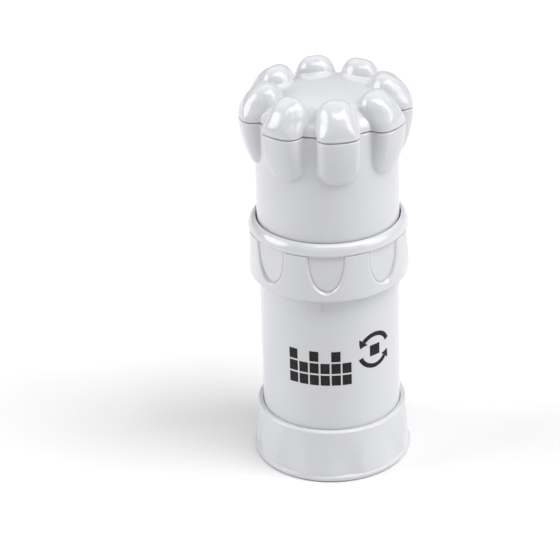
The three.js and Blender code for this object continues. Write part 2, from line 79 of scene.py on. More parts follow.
# ---------- sizes that the frame doesn't give ----------
# The base cup: its rim outside, its bore, the lip that closes in on the tube, and its floor
BASE_RIM_R = 31.15
BASE_BORE_R = 29.3
BASE_LIP_R = 28.97
BASE_FLOOR = 4.6
BASE_SKIRT_Z = 0.9  # where the rounded lower edge ends
BASE_RECESS_R = 30.6  # of the hollow underneath, for the foot ring
BASE_BEND = (31.85, 11.5, 20)  # the side's bend: its radius, its height and how round it is
FOOT_R = (25.5, 30.5)
SEAL_R = (24.8, 28.8)
# A scoop's width is in degrees. It has its full depth above its ledge, and fades out up the side
SCOOP = {
    "count": 8, "bearing": 12.5, "width": 27.0, "depth": 1.0, "ledge": 2.5, "fade": (6.0, 21.0),
    "softness": 1.6,
}
TUBE_BORE_R = 26.8
KEY = {"width": 6.5, "height": 5.6, "proud": 1.0, "bearing": -11.2}
COLLAR_SOCKET_R = 29.2
COLLAR_BORE_R = 29.4
BAND_Z = 104.7  # the line between the petals and the rim band
WEB_BOTTOM, WEB_TOP = 90.2, 94.4  # the collar's inner floor
PETAL = {"count": 8, "half": 7.6, "height": 16.0, "depth": 1.0, "fullness": 2.4}
BORE_X, BORE_Y = 14.5, 16.25  # half sizes of the garlic chute
PLATEAU_R = 21.7  # of the blade insert's raised middle
PLAY = 0.4  # round what the collar's web holds
BARREL_R = 28.95
BARREL_BORE_R = 26.2
KNOB_WEB = (147.4, 149.9)  # the knob's inner floor, from below to above
DOME_RISE = 9.6
DOME_POWER = 2.35
# One clove. Seen from above it is a round-nosed bar, "half" wide to each side, whose face stands
# "reach" past the crest's radius at the seam. It arches up by "rise" over the seam, and under the
# seam it tapers down to the height "end", with rounded lower corners
CREST_R = 22.3
CLOVE = {
    "count": 8, "bearing": 11.25, "half": 8.55, "nose": 25.6, "crest": CREST_R, "reach": KNOB_R - CREST_R,
    "rise": KNOB_TOP - SEAM_Z, "taper": 0.0122, "end": 134.1, "corner": 7.0, "arch": 1.8,
    "bulge": 1.4, "side_edge": 2.8, "top_edge": 7.0, "edge_rise": 7,
}
CREASE = 0.3  # rounding where a clove meets the dome or the barrel
BARREL_EDGE = 0.75  # rounding of the seam's lower and upper edge
CROWN_EDGE = 0.5


# ---------- mesh helpers ----------
def on_bearing(r, bearing, z):
    """Points at radius r, bearing and height z, as rows of x, y, z."""
    angle = np.radians(bearing)
    r, angle, z = np.broadcast_arrays(r, angle, z)
    return np.stack([r * np.sin(angle), -r * np.cos(angle), z], axis=-1)


def mesh_object(name, points, faces):
    """A new smooth-shaded object from points in millimetres."""
    mesh = bpy.data.meshes.new(name)
    mesh.from_pydata((np.asarray(points) * MM).tolist(), [], faces)
    mesh.polygons.foreach_set("use_smooth", np.ones(len(mesh.polygons), bool))
    obj = bpy.data.objects.new(name, mesh)
    bpy.context.scene.collection.objects.link(obj)
    return obj


def finish_mesh(obj, weld=0.002):
    """Welds doubles and points every face outward."""
    work = bmesh.new()
    work.from_mesh(obj.data)
    bmesh.ops.remove_doubles(work, verts=work.verts, dist=weld * MM)
    bmesh.ops.dissolve_degenerate(work, edges=work.edges, dist=weld * MM)
    bmesh.ops.recalc_face_normals(work, faces=work.faces)
    work.to_mesh(obj.data)
    work.free()
    obj.data.polygons.foreach_set("use_smooth", np.ones(len(obj.data.polygons), bool))
    obj.modifiers.new("weighted", "WEIGHTED_NORMAL")
    return obj


REPLACED = set()


def dress(obj, body, slot, material, *replaced):
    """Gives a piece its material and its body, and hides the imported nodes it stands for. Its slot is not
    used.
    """
    obj.data.materials.clear()
    obj.data.materials.append(material)
    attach(obj, body)
    if replaced:
        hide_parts(*replaced)
        REPLACED.update(replaced)
    return obj


def ring_faces(rows, columns):
    """Quads between rows of points that each go round in a ring, and back to the first row."""
    faces = []
    for row in range(rows):
        here, there = row * columns, ((row + 1) % rows) * columns
        for i in range(columns):
            j = (i + 1) % columns
            faces.append((here + i, here + j, there + j, there + i))
    return faces


class Patchwork:
    """Collects rows of points, and the faces between them, for one mesh."""

    def __init__(self):
        self.blocks, self.faces, self.count = [], [], 0

    def row(self, points):
        """Adds points and returns their numbers in the mesh."""
        points = np.atleast_2d(points)
        self.blocks.append(points)
        self.count += len(points)
        return list(range(self.count - len(points), self.count))

    def strip(self, a, b, closed=False):
        """Quads between two rows of the same length."""
        for i in range(len(a) if closed else len(a) - 1):
            j = (i + 1) % len(a)
            self.faces.append((a[i], a[j], b[j], b[i]))

    def strips(self, rows, closed=False):
        for a, b in zip(rows, rows[1:]):
            self.strip(a, b, closed)

    def fan(self, hub, row, closed=False):
        """Triangles from one point to a row."""
        for i in range(len(row) if closed else len(row) - 1):
            self.faces.append((hub, row[i], row[(i + 1) % len(row)]))

    def zipped(self, a, a_bearings, b, b_bearings):
        """Triangles between two rings whose points stand at different bearings, both rising."""
        next_a, next_b = [[*ring[1:], ring[0] + 360, math.inf] for ring in (a_bearings, b_bearings)]
        i = j = 0
        while i < len(a) or j < len(b):
            if next_a[i] <= next_b[j]:
                self.faces.append((a[i], a[(i + 1) % len(a)], b[j % len(b)]))
                i += 1
            else:
                self.faces.append((a[i % len(a)], b[(j + 1) % len(b)], b[j]))
                j += 1

    def object(self, name):
        return mesh_object(name, np.concatenate(self.blocks), self.faces)


def fillet(outline, steps=4):
    """Rounds an outline of (r, z, radius) corners, and returns its (r, z) points."""
    points = []
    count = len(outline)
    for i, (r, z, radius) in enumerate(outline):
        here = np.array([r, z])
        if radius == 0:
            points.append(here)
            continue
        before = np.array(outline[i - 1][:2]) - here
        after = np.array(outline[(i + 1) % count][:2]) - here
        before, after = before / np.linalg.norm(before), after / np.linalg.norm(after)
        half = math.acos(np.clip(before @ after, -1, 1)) / 2
        reach = radius / math.tan(half)
        start, end = here + before * reach, here + after * reach
        centre = here + (before + after) / np.linalg.norm(before + after) * radius / math.sin(half)
        turn = math.pi - 2 * half
        for k in range(steps + 1):
            part = k / steps
            mix = start * math.sin((1 - part) * turn) + end * math.sin(part * turn)
            mix -= centre * (math.sin((1 - part) * turn) + math.sin(part * turn))
            points.append(centre + mix / math.sin(turn) if math.sin(turn) > 1e-6 else here)
    return points


def subdivided(points, longest):
    """The same outline with no stretch longer than asked, without its last point."""
    out = []
    for a, b in zip(points, points[1:]):
        count = max(1, math.ceil(np.linalg.norm(b - a) / longest))
        out += [a + (b - a) * k / count for k in range(count)]
    return out


def turned(name, outline, columns=192, longest=100.0, shape=None):
    """A closed ring turned about Z. shape(r, bearing, z) may move a point in or out."""
    rounded = fillet(outline)
    points = subdivided(rounded + rounded[:1], longest)
    bearings = np.arange(columns) * 360.0 / columns
    rows = []
    for r, z in points:
        radius = np.full(columns, r) if shape is None else shape(r, bearings, z)
        rows.append(on_bearing(radius, bearings, z))
    return mesh_object(name, np.concatenate(rows), ring_faces(len(rows), columns))


def smoothstep(value, low, high):
    """Rises from 0 to 1 between low and high, level at both ends."""
    t = np.clip((value - low) / (high - low), 0, 1)
    return t * t * (3 - 2 * t)


def box_radius(bearings, half_x, half_y, corner):
    """Distance from the axis to a rounded rectangle, along each bearing, by halving a span."""
    farthest, halvings = 60.0, 40
    angle = np.radians(bearings)
    dx, dy = np.abs(np.sin(angle)), np.abs(np.cos(angle))
    low, high = np.zeros_like(dx), np.full_like(dx, farthest)
    for _ in range(halvings):
        middle = (low + high) / 2
        qx, qy = middle * dx - (half_x - corner), middle * dy - (half_y - corner)
        gap = np.hypot(np.maximum(qx, 0), np.maximum(qy, 0)) + np.minimum(np.maximum(qx, qy), 0)
        inside = gap < corner
        low, high = np.where(inside, middle, low), np.where(inside, high, middle)
    return low


# ---------- materials ----------
NOISE_SPAN = (0.3, 0.7)  # where most of a noise's values lie


class Shader:
    """A Principled material whose noises are in object space, with scales per metre."""

    def __init__(self, name, **constants):
        self.material = bpy.data.materials.new(name)
        self.material.use_nodes = True
        self.tree = self.material.node_tree
        self.surface = self.tree.nodes["Principled BSDF"]
        for socket, value in constants.items():
            self.surface.inputs[socket.replace("_", " ")].default_value = value
        self.place = self.tree.nodes.new("ShaderNodeTexCoord").outputs["Object"]

    def link(self, a, b):
        self.tree.links.new(a, b)

    def noise(self, scale, detail, stretch=(1, 1, 1), roughness=0.5):
        mapping = self.tree.nodes.new("ShaderNodeMapping")
        mapping.inputs["Scale"].default_value = stretch
        self.link(self.place, mapping.inputs["Vector"])
        node = self.tree.nodes.new("ShaderNodeTexNoise")
        node.inputs["Scale"].default_value = scale
        node.inputs["Detail"].default_value = detail
        node.inputs["Roughness"].default_value = roughness
        self.link(mapping.outputs["Vector"], node.inputs["Vector"])
        return node.outputs["Fac"]

    def tones(self, noise, low, high):
        """Paints the base colour from one colour to another as a noise rises."""
        node = self.tree.nodes.new("ShaderNodeValToRGB")
        for i, colour in enumerate((low, high)):
            node.color_ramp.elements[i].position = NOISE_SPAN[i]
            node.color_ramp.elements[i].color = colour
        self.link(noise, node.inputs["Fac"])
        self.link(node.outputs["Color"], self.surface.inputs["Base Color"])

    def polish(self, noise, low, high):
        """Paints the roughness between two values as a noise rises."""
        node = self.tree.nodes.new("ShaderNodeMapRange")
        node.inputs["From Min"].default_value = NOISE_SPAN[0]
        node.inputs["From Max"].default_value = NOISE_SPAN[1]
        node.inputs["To Min"].default_value = low
        node.inputs["To Max"].default_value = high
        self.link(noise, node.inputs["Value"])
        self.link(node.outputs["Result"], self.surface.inputs["Roughness"])

    def bump(self, *layers):
        """Layers of (height, strength, distance in mm), one on the other."""
        normal = None
        for height, strength, distance in layers:
            node = self.tree.nodes.new("ShaderNodeBump")
            node.inputs["Strength"].default_value = strength
            node.inputs["Distance"].default_value = distance * MM
            self.link(height, node.inputs["Height"])
            if normal is not None:
                self.link(normal, node.inputs["Normal"])
            normal = node.outputs["Normal"]
        self.link(normal, self.surface.inputs["Normal"])


def grey(value, tint=(1, 1, 1)):
    return (value * tint[0], value * tint[1], value * tint[2], 1)


def gloss_plastic(name, rough):
    """Moulded gloss plastic: faint colour drift, polish that varies, shallow moulding waves."""
    cool = (0.955, 0.962, 1.0)
    shader = Shader(name, IOR=1.58)
    drift = shader.noise(22, 2)
    shader.tones(drift, grey(0.65, cool), grey(0.67, cool))
    wear = shader.noise(160, 4, roughness=0.6)
    shader.polish(wear, rough - 0.04, rough + 0.06)
    waves = shader.noise(60, 1)
    grain = shader.noise(2600, 2)
    shader.bump((waves, 0.15, 0.08), (grain, 0.05, 0.02))
    return shader.material


def frosted_plastic():
    """Milky plastic that lets some light through, with a fine matt grain."""
    shader = Shader("frosted_plastic", IOR=1.47, Transmission_Weight=0.3)
    shader.tones(shader.noise(45, 2), (0.84, 0.88, 0.89, 1), (0.92, 0.95, 0.955, 1))
    shader.polish(shader.noise(420, 3), 0.3, 0.46)
    waves = shader.noise(80, 1)
    grain = shader.noise(3000, 2)
    shader.bump((waves, 0.2, 0.08), (grain, 0.1, 0.02))
    return shader.material


def brushed_steel(name, stretch, rough):
    """Steel with fine brushing along one axis and faint stains."""
    shader = Shader(name, Metallic=1.0)
    stain = shader.noise(180, 3)
    shader.tones(stain, grey(0.62), grey(0.78, (1, 1, 1.01)))
    brushing = shader.noise(900, 4, stretch, 0.7)
    shader.polish(brushing, rough - 0.08, rough + 0.12)
    shader.bump((brushing, 0.25, 0.02))
    return shader.material


def silicone():
    """Grey rubber with a faint sheen and a matt grain."""
    shader = Shader("silicone", IOR=1.41, Sheen_Weight=0.1)
    shader.tones(shader.noise(70, 3), grey(0.5), grey(0.58))
    shader.polish(shader.noise(500, 3), 0.55, 0.75)
    shader.bump((shader.noise(2200, 3), 0.2, 0.03))
    return shader.material


def black_ink():
    """Printed black, slightly uneven."""
    shader = Shader("black_ink", IOR=1.3)
    shader.tones(shader.noise(500, 3), grey(0.008), grey(0.02))
    shader.polish(shader.noise(1500, 3), 0.5, 0.65)
    shader.bump((shader.noise(2500, 2), 0.15, 0.01))
    return shader.material


WHITE = gloss_plastic("white_plastic", 0.14)
INNER = gloss_plastic("inner_plastic", 0.3)
FROSTED = frosted_plastic()
STEEL_X = brushed_steel("blade_steel_x", (0.06, 1, 1), 0.28)
STEEL_Y = brushed_steel("blade_steel_y", (1, 0.06, 1), 0.28)
SCREW_STEEL = brushed_steel("screw_steel", (1, 1, 0.1), 0.34)
SILICONE = silicone()
INK = black_ink()


# ---------- base ----------
def scoop_depth(bearing, z):
    """How deep the finger scoops go in at each bearing and height."""
    pitch = 360 / SCOOP["count"]
    turns = (bearing - SCOOP["bearing"]) / pitch
    off = np.abs(turns - np.round(turns)) * pitch
    across = np.clip(1 - (2 * off / SCOOP["width"]) ** 2, 0, 1) ** SCOOP["softness"]
    above = smoothstep(z, SCOOP["ledge"] - 0.15, SCOOP["ledge"] + 0.25)
    return SCOOP["depth"] * across * above * (1 - smoothstep(z, *SCOOP["fade"]))


def square_ring(name, radii, heights, edges):
    """A ring of rectangular section, with roundings for its inner lower, outer lower and upper edges."""
    (inner, outer), (low, high), (inner_low, outer_low, upper) = radii, heights, edges
    return finish_mesh(turned(name, [
        (inner, low, inner_low), (outer, low, outer_low), (outer, high, upper), (inner, high, upper),
    ]))


def make_base():
    """The cup with its finger scoops, the foot ring under it and the soft ring on its floor."""
    columns, longest, hub_r = 320, 0.8, 4
    ceiling = FOOT_TOP + 0.2
    bore_top = BASE_TOP - 2
    lip_top = SCOOP["ledge"] - 0.3
    # A small step under the scoops, so that their ledge shows as a line round the base
    skirt = [(BASE_R, z, 0) for z in np.linspace(BASE_SKIRT_Z, lip_top, 4)]
    skirt += [(BASE_R - 0.1, lip_top + 0.12, 0), (BASE_R - 0.28, lip_top + 0.2, 0)]
    skirt += [(BASE_R - 0.38, z, 0) for z in np.linspace(lip_top + 0.3, SCOOP["ledge"] + 0.5, 9)]
    inside = fillet([
        (BASE_BORE_R, bore_top, 0), (BASE_BORE_R, BASE_FLOOR, 0.6), (hub_r, BASE_FLOOR, 0),
    ])
    under = fillet([
        (hub_r, ceiling, 0), (BASE_RECESS_R, ceiling, 0.3), (BASE_RECESS_R, BASE_BOTTOM, 0.2),
        (BASE_R - 0.1, BASE_BOTTOM, 0.35), (BASE_R, BASE_SKIRT_Z, 0),
    ])
    side = fillet(skirt + [
        BASE_BEND, (BASE_RIM_R + 0.05, BASE_TOP, 0.9), (BASE_LIP_R, BASE_TOP, 0.25),
        (BASE_LIP_R, BASE_TOP - 1.3, 0.2), (BASE_BORE_R, BASE_TOP - 1.6, 0.2), (BASE_BORE_R, bore_top, 0),
    ], steps=6)
    bearings = np.arange(columns) * 360 / columns
    work = Patchwork()
    rows = [work.row(on_bearing(r, bearings, z)) for r, z in under[:-1]]
    for r, z in subdivided(side, longest):
        scooped = r - (scoop_depth(bearings, z) if r > BASE_BORE_R + 1 else 0)
        rows.append(work.row(on_bearing(scooped, bearings, z)))
    rows += [work.row(on_bearing(r, bearings, z)) for r, z in inside]
    work.strips(rows, closed=True)
    for z, row in ((ceiling, rows[0]), (BASE_FLOOR, rows[-1])):
        work.fan(work.row([0, 0, z])[0], row, closed=True)
    dress(finish_mesh(work.object("base_cup_shell")), "base", "white_plastic", WHITE, "base_cup")
    foot = square_ring("foot_ring_soft", FOOT_R, (0, FOOT_TOP), (0.4, 0.5, 0.2))
    dress(foot, "base", "silicone", SILICONE, "foot_ring")
    seal = square_ring("base_seal_soft", SEAL_R, span("base_seal"), (0.3, 0.3, 0.3))
    dress(seal, "base", "silicone", SILICONE, "base_seal")


# ---------- storage tube ----------
KEY_TOP = COLLAR_BOTTOM - 0.2
KEY_BOTTOM = KEY_TOP - KEY["height"]


def key_shape(r, bearings, z):
    """Raises the small key tab out of the tube's outer wall."""
    if r < TUBE_R - 0.01:
        return np.full(len(bearings), r)
    arc = np.abs(np.radians(bearings - 360 * np.round(bearings / 360) - KEY["bearing"])) * TUBE_R
    edge = 0.3
    across = 1 - smoothstep(arc, KEY["width"] / 2 - edge, KEY["width"] / 2)
    up = smoothstep(z, KEY_BOTTOM, KEY_BOTTOM + edge)
    down = 1 - smoothstep(z, KEY_TOP - edge, KEY_TOP)
    return r + KEY["proud"] * across * up * down


def make_tube():
    """The storage tube, with close rows where the key tab rises and falls."""
    key_levels = [
        *np.linspace(KEY_BOTTOM - 0.1, KEY_BOTTOM + 0.5, 8), *np.linspace(KEY_TOP - 0.5, KEY_TOP + 0.05, 8),
    ]
    tube = turned("storage_tube_shell", [
        (TUBE_BORE_R, TUBE_BOTTOM, 0.4), (TUBE_R, TUBE_BOTTOM, 0.6), *[(TUBE_R, z, 0) for z in key_levels],
        (TUBE_R, TUBE_TOP, 0.5), (TUBE_BORE_R, TUBE_TOP, 0.5),
    ], columns=720, longest=20, shape=key_shape)
    dress(finish_mesh(tube), "container", "white_plastic", WHITE, "storage_tube")


# ---------- print on the tube ----------
MARK_R = (TUBE_R - 0.02, TUBE_R + 0.04)
# Places on the tube are an arc length from the front towards +X, and a height
CUBES = {"columns": 6, "rows": 3, "corner": (-15.0, 46.7), "pitch": (4.5, 5.5), "size": (3.8, 4.7)}
TWIST = {"centre": (20.3, 57.5), "radius": 7.2, "width": 2.0, "sweep": 118, "cube": (5.0, 5.0)}
# An arrow head starts "gap" degrees past its arc and is "sweep" degrees long. Its half width is
# "half" times the arc's width at the back, and "tip" millimetres at the point
ARROW_HEAD = {"gap": 0.5, "sweep": 24, "half": 1.25, "tip": 0.05}


def grid_rim(rows):
    """The points round the outside of a grid, in order."""
    right = [row[-1] for row in rows[1:]]
    left = [row[0] for row in rows[-2:0:-1]]
    return rows[0] + right + rows[-1][-2::-1] + left


def mark_patch(work, rows):
    """A thin plate on the tube over a grid of (arc, z) points, closed on every side."""
    grid = np.array(rows)
    bearings = np.degrees(grid[..., 0] / TUBE_R)
    back, front = [[work.row(on_bearing(r, b, z)) for b, z in zip(bearings, grid[..., 1])] for r in MARK_R]
    work.strips(front)
    work.strips(back)
    work.strip(grid_rim(back), grid_rim(front), closed=True)


def block(work, centre, size):
    """A small square-cornered block."""
    across, up = np.linspace(-0.5, 0.5, 5), np.linspace(-0.5, 0.5, 3)
    mark_patch(work, [[(centre[0] + size[0] * a, centre[1] + size[1] * b) for a in across] for b in up])


def curved_arrow(work, centre, radius, width, start, end):
    """An arc with an arrow head at its end. Angles are in degrees from the right."""
    def spot(r, angle):
        return centre[0] + r * math.cos(math.radians(angle)), centre[1] + r * math.sin(math.radians(angle))

    turn = math.copysign(1, end - start)
    angles = np.linspace(start, end, 29)
    mark_patch(work, [[spot(radius + width * part, a) for a in angles] for part in (-0.5, 0, 0.5)])
    head = []
    for along in np.linspace(0, 1, 6):
        half = ARROW_HEAD["half"] * width * (1 - along) + ARROW_HEAD["tip"]
        angle = end + turn * (ARROW_HEAD["gap"] + ARROW_HEAD["sweep"] * along)
        head.append([spot(radius + half * part, angle) for part in (-1, -0.5, 0, 0.5, 1)])
    mark_patch(work, head)


def make_print():
    """A plain pictogram: rows of cubes, every second one topped, and a twist sign round a cube."""
    work = Patchwork()
    (left, bottom), (pitch_x, pitch_z) = CUBES["corner"], CUBES["pitch"]
    for column in range(CUBES["columns"]):
        for row in range(CUBES["rows"]):
            if row < CUBES["rows"] - 1 or column % 2 == 0:
                block(work, (left + pitch_x * column, bottom + pitch_z * row), CUBES["size"])
    for start in (20, 200):
        curved_arrow(work, TWIST["centre"], TWIST["radius"], TWIST["width"], start, start + TWIST["sweep"])
    block(work, TWIST["centre"], TWIST["cube"])
    dress(finish_mesh(work.object("print_mark"), 0.0005), "container", "white_plastic", INK)


# ---------- collar ----------
PETAL_TOP = BAND_Z - 0.2
SEAT_TOP = GRID_TOP + 0.3
SECTOR = 360 / PETAL["count"]
# Across a petal's edge: the way out from its outline, and the depth as a part of the petal's
# own. A rounded shoulder drops into a narrow crevice beside the petal's floor.
PETAL_EDGE = [
    (-0.5, 1.0), (-0.42, 1.05), (-0.38, 1.22), (-0.24, 1.22), (-0.2, 1.0), (-0.16, 0.86), (-0.08, 0.74),
    (0.08, 0.53), (0.26, 0.31), (0.42, 0.14), (0.56, 0.05), (0.72, 0.0),
]
PATCH_BOTTOM = COLLAR_BOTTOM + 1.6
PETAL_FLATNESS = 0.7  # of the petals' floors: 0 follows the collar, 1 is flat
# The band's outline: the middle of its curve, how far it reaches out and up, and how square it is
BAND_CURVE = {"centre": (29.7, 104.8), "reach": (2.9, 4.6), "squareness": 2 / 1.75}


def petal_outline(count):
    """Points round a petal from its upper left to its upper right, and the way out at each."""
    half, height, fullness = PETAL["half"], PETAL["height"], PETAL["fullness"]
    fine = 3001
    across = half * np.sin(np.linspace(-math.pi / 2, math.pi / 2, fine))
    down = height * (1 - (across / half) ** 2) ** (1 / fullness)
    along = np.concatenate([[0], np.cumsum(np.hypot(np.diff(across), np.diff(down)))])
    wanted = np.linspace(0, along[-1], count)
    points = np.stack([np.interp(wanted, along, across), np.interp(wanted, along, down)], axis=-1)
    part = points / (half, height)
    way = np.stack([2 * part[:, 0] / half, fullness / height * part[:, 1] ** (fullness - 1)], axis=-1)
    return points, way / np.linalg.norm(way, axis=1, keepdims=True)


def sector_border(side, bottom, width, depth):
    """Points down a sector's left side, along its bottom and up its right side."""
    left = [(-width / 2, depth * i / side) for i in range(side)]
    low = [(-width / 2 + width * i / bottom, depth) for i in range(bottom)]
    right = [(width / 2, depth * (side - i) / side) for i in range(side + 1)]
    return np.array(left + low + right)


def petal_patch():
    """Rows round one petal from its floor out to the sector's border: points and depths."""
    side, bottom = 30, 36
    border = sector_border(side, bottom, math.radians(SECTOR) * COLLAR_R, PETAL_TOP - PATCH_BOTTOM)
    outline, way = petal_outline(len(border))
    floor_edge, land_edge = outline + PETAL_EDGE[0][0] * way, outline + PETAL_EDGE[-1][0] * way
    rows = [(floor_edge * part, 1.0) for part in (0.16, 0.34, 0.52, 0.7, 0.85, 0.95)]
    rows += [(outline + offset * way, depth) for offset, depth in PETAL_EDGE]
    rows += [(land_edge + (border - land_edge) * part, 0.0) for part in (0.06, 0.18, 0.38, 0.66, 1.0)]
    return rows, slice(side, side + bottom)


def petal_radius(across, depth):
    """Radius of the collar's skin, at a depth of 1 on a petal's floor and 0 on the land round it."""
    turn = across / COLLAR_R
    floor = (COLLAR_R - PETAL["depth"] - 0.25) * (1 + PETAL_FLATNESS * (1 / np.cos(turn) - 1))
    return COLLAR_R + (floor - COLLAR_R) * depth


def collar_profile():
    """The band, bore, web, socket and lower edge, from above the petals to below them."""
    arc = np.radians(np.linspace(8, 89, 16))
    (centre_r, centre_z), (out, up) = BAND_CURVE["centre"], BAND_CURVE["reach"]
    power = BAND_CURVE["squareness"]
    band = [(centre_r + out * math.cos(t) ** power, centre_z + up * math.sin(t) ** power) for t in arc]
    lip = [(COLLAR_BORE_R + 0.2, COLLAR_TOP - 0.05), (COLLAR_BORE_R, COLLAR_TOP - 0.25)]
    seat_r, bore_middle = PLATEAU_R + PLAY, 100
    upper = fillet([(COLLAR_BORE_R, bore_middle, 0), (COLLAR_BORE_R, WEB_TOP, 0.5), (seat_r, WEB_TOP, 0)])
    lower = fillet([
        (seat_r, SEAT_TOP, 0), (seat_r, WEB_BOTTOM, 0.2), (COLLAR_SOCKET_R, WEB_BOTTOM, 0.3),
        (COLLAR_SOCKET_R, COLLAR_BOTTOM, 0.35), (COLLAR_R, COLLAR_BOTTOM, 1.2),
        (COLLAR_R, PATCH_BOTTOM - 0.3, 0),
    ])
    return band + lip + [tuple(p) for p in upper], [tuple(p) for p in lower]


def make_collar():
    """Eight petal patches side by side, with the band, the inside and the lower edge joined on."""
    rows, bottom = petal_patch()
    work = Patchwork()
    top, top_radius, low, low_bearings = [], [], [], []
    # Each petal's points along the top of the patch, from its left border over the floor to its right
    across = np.array([p[0, 0] for p, _ in reversed(rows)] + [0.0] + [p[-1, 0] for p, _ in rows[:-1]])
    depths = np.array([d for _, d in reversed(rows)] + [1.0] + [d for _, d in rows[:-1]])
    for k in range(PETAL["count"]):
        centre = k * SECTOR
        hub = work.row(on_bearing(petal_radius(0.0, 1.0), centre, PETAL_TOP))[0]
        indexed = []
        for points, depth in rows:
            radius = petal_radius(points[:, 0], depth)
            bearing = centre + np.degrees(points[:, 0] / COLLAR_R)
            indexed.append(work.row(on_bearing(radius, bearing, PETAL_TOP - points[:, 1])))
        work.fan(hub, indexed[0])
        work.strips(indexed)
        top += list(centre + np.degrees(across / COLLAR_R))
        top_radius += list(petal_radius(across, depths))
        low += indexed[-1][bottom]
        low_bearings += list(centre + np.degrees(rows[-1][0][bottom, 0] / COLLAR_R))
    top, top_radius = np.array(top), np.array(top_radius)
    notch = np.minimum(top_radius, COLLAR_R - 0.5)
    # The thin groove between the petals and the band
    groove = [
        (top_radius, PETAL_TOP), (np.minimum(top_radius, COLLAR_R - 0.1), PETAL_TOP + 0.05),
        (notch, PETAL_TOP + 0.12), (notch, BAND_Z + 0.25), (COLLAR_R - 0.4, BAND_Z + 0.3),
        (COLLAR_R - 0.12, BAND_Z + 0.33),
    ]
    upper, lower = collar_profile()
    opening = box_radius(top, BORE_X + PLAY, BORE_Y + PLAY, 0.4)
    profile = groove + upper + [(opening, WEB_TOP), (opening, SEAT_TOP)] + lower
    rings = [work.row(on_bearing(r, top, z)) for r, z in profile]
    work.strips(rings, closed=True)
    work.zipped(low, low_bearings, rings[-1], list(top))
    dress(finish_mesh(work.object("petal_collar_shell")), "head", "white_plastic", WHITE, "petal_collar")


# ---------- knob ----------
def round_edge(a, b, r):
    """The distance to what two shapes share, with its edge rounded by r."""
    outside = np.hypot(np.maximum(a + r, 0), np.maximum(b + r, 0))
    return np.minimum(np.maximum(a, b), -r) + outside


def round_crease(a, b, r):
    """The distance to two shapes joined, with the crease between them filled by r."""
    inside = np.hypot(np.maximum(r - a, 0), np.maximum(r - b, 0))
    return np.maximum(np.minimum(a, b), r) - inside


def clove_distance(u, v, z):
    """Distance to one clove, with u outward along its middle and v across it."""
    c = CLOVE
    radius = np.hypot(u, c["bulge"] * v)
    rise, drop = np.maximum(z - SEAM_Z, 0), np.maximum(SEAM_Z - z, 0)
    out = np.maximum((radius - c["crest"]) / c["reach"], 0)
    arch = out ** c["arch"] + (rise / c["rise"]) ** c["arch"]
    upper = (arch ** (1 / c["arch"]) - 1) * c["reach"]
    lower = radius - (c["crest"] + c["reach"] - c["taper"] * drop**2)
    face = np.where(z > SEAM_Z, upper, lower)
    plan = np.hypot(np.maximum(c["nose"] - u, 0), v) - c["half"]
    beside = np.abs(v) - (c["half"] - c["corner"])
    below = c["end"] + c["corner"] - z
    end = np.hypot(np.maximum(beside, 0), np.maximum(below, 0)) - c["corner"]
    wall = np.maximum(plan, np.where(below > 0, end, plan))
    higher = smoothstep(z, SEAM_Z, SEAM_Z + c["edge_rise"])
    edge = c["side_edge"] + (c["top_edge"] - c["side_edge"]) * higher
    return round_edge(face, wall, edge)


def knob_distance(u, v, z):
    """Distance to the knob: barrel and dome, with one clove on them."""
    radius = np.hypot(u, v)
    rise = np.maximum(z - SEAM_Z, 0)
    dome = (radius / BARREL_R) ** DOME_POWER + (rise / DOME_RISE) ** DOME_POWER
    body = np.where(z > SEAM_Z, (dome ** (1 / DOME_POWER) - 1) * DOME_RISE, radius - BARREL_R)
    return round_crease(body, clove_distance(u, v, z), CREASE)


# The knob is worked out over half a clove and repeated
HALF_COLUMNS = 34
CLOVE_PITCH = 360 / CLOVE["count"]
FINE_ANGLES = np.radians(np.linspace(0, CLOVE_PITCH / 2, 420))
ACROSS = np.stack([np.cos(FINE_ANGLES), np.sin(FINE_ANGLES), np.zeros(len(FINE_ANGLES))], axis=-1)
UP = np.array([0.0, 0.0, 1.0])


def skin(start, way):
    """The knob's outermost skin along rays, over half a clove. Its middle is at angle 0.

    Each ray is walked inwards from far outside, and its last step is then halved.
    """
    def distance(t):
        return knob_distance(*(start + t[:, None] * way).T)

    farthest, step, halvings = 70.0, 0.5, 22
    outside = np.full(len(FINE_ANGLES), farthest)
    for _ in range(int(farthest / step)):
        outside = np.where(distance(outside - step) > 0, outside - step, outside)
    inside = outside - step
    for _ in range(halvings):
        middle = (inside + outside) / 2
        out = distance(middle) > 0
        outside, inside = np.where(out, middle, outside), np.where(out, inside, middle)
    return start + outside[:, None] * way


def resampled(points, count):
    """count + 1 points along a contour, closer together where it turns."""
    turn_share, least_turn = 0.9, 0.8
    steps = np.diff(points, axis=0)
    lengths = np.linalg.norm(steps, axis=1)
    ways = steps / np.maximum(lengths, 1e-9)[:, None]
    turns = np.arccos(np.clip(np.sum(ways[1:] * ways[:-1], axis=1), -1, 1))
    turns = np.concatenate([[0], turns])
    weight = lengths / lengths.sum() + turn_share * turns / max(turns.sum(), least_turn)
    along = np.concatenate([[0], np.cumsum(weight)])
    wanted = np.linspace(0, along[-1], count + 1)
    return np.stack([np.interp(wanted, along, points[:, k]) for k in range(3)], axis=-1)


def full_ring(half):
    """Mirrors half a clove's contour and repeats it for every clove."""
    mirrored = half[::-1] * [1, -1, 1]
    x, y, z = np.concatenate([mirrored[:-1], half[:-1]]).T
    out = []
    for k in range(CLOVE["count"]):
        turn = math.radians(CLOVE["bearing"] + k * CLOVE_PITCH - 90)
        c, s = math.cos(turn), math.sin(turn)
        out.append(np.stack([x * c - y * s, x * s + y * c, z], axis=-1))
    return np.concatenate(out)


COLUMN_COUNT = 2 * HALF_COLUMNS * CLOVE["count"]
EVEN = CLOVE["bearing"] - CLOVE_PITCH / 2 + np.arange(COLUMN_COUNT) * 360.0 / COLUMN_COUNT


